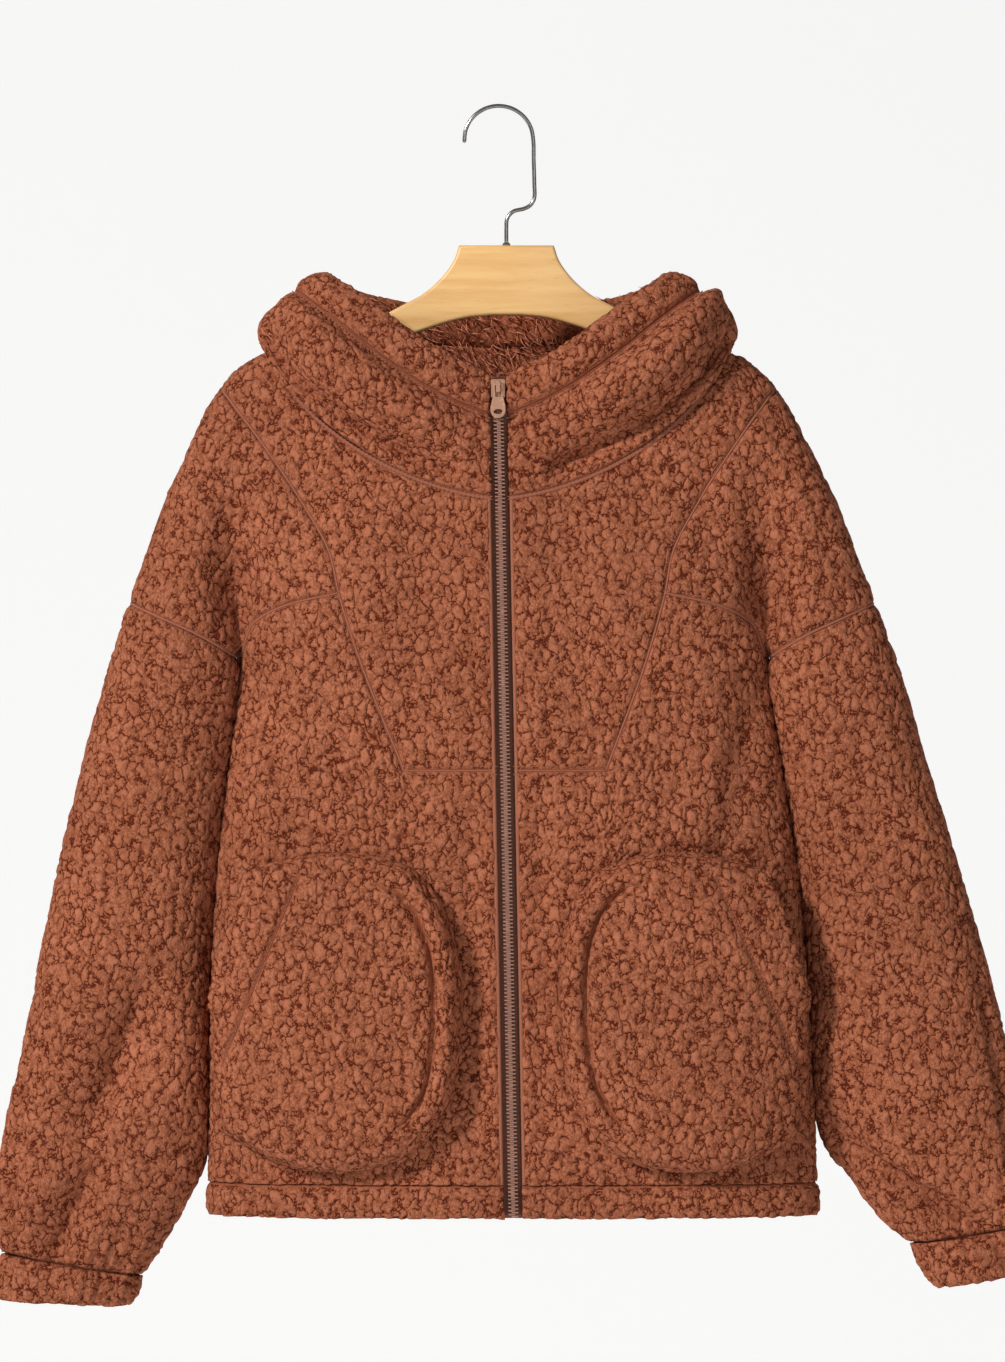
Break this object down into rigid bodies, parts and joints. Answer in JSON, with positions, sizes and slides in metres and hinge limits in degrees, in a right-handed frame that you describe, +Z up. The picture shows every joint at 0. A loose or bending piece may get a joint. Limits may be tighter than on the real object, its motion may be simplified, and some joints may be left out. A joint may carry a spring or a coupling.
{
  "type": "hooded fleece jacket on a wooden hanger",
  "caption": "Hooded zip-up jacket of thick curly fleece with two raised pockets, hung on a wooden hanger with a wire hook.",
  "frame": {"origin": "inside top of the wire hook, where it rests on a rail", "axes": "+Z up, -Y out of the front of the jacket, +X towards the left sleeve as worn"},
  "size_m": [0.8301, 0.1868, 0.9373],
  "materials": {
    "fleece": "thick curly pile, matt",
    "zip_tape": "woven tape, matt",
    "zip_teeth": "moulded, satin",
    "zip_metal": "enamelled, satin",
    "beech": "clear satin lacquer",
    "steel_wire": "bright plated wire"
  },
  "bodies": {
    "jacket": {"yoke_left": "fleece", "yoke_right": "fleece", "shoulder_left": "fleece", "shoulder_right": "fleece", "front_left": "fleece", "front_right": "fleece", "sleeve_left": "fleece", "sleeve_right": "fleece", "cuff_left": "fleece", "cuff_right": "fleece", "hood_left": "fleece", "hood_right": "fleece", "pocket_left": "fleece", "pocket_right": "fleece", "back": "fleece", "hem_band": "fleece", "hood_band": "fleece", "zip_tape_left": "zip_tape", "zip_tape_right": "zip_tape", "zip_chain": "zip_teeth", "zip_slider": "zip_metal", "zip_bridge": "zip_metal", "hanger": "beech", "hook": "steel_wire", "hook_ferrule": "steel_wire"},
    "pull": {"zip_pull": "zip_metal"}
  },
  "joints": [
    {"name": "pull_swing", "type": "hinge", "parent": "jacket", "child": "pull", "pos_m": [-0.00145, -0.05462, -0.2184], "axis": [-1, 0, 0], "range_deg": [0, 165]}
  ]
}
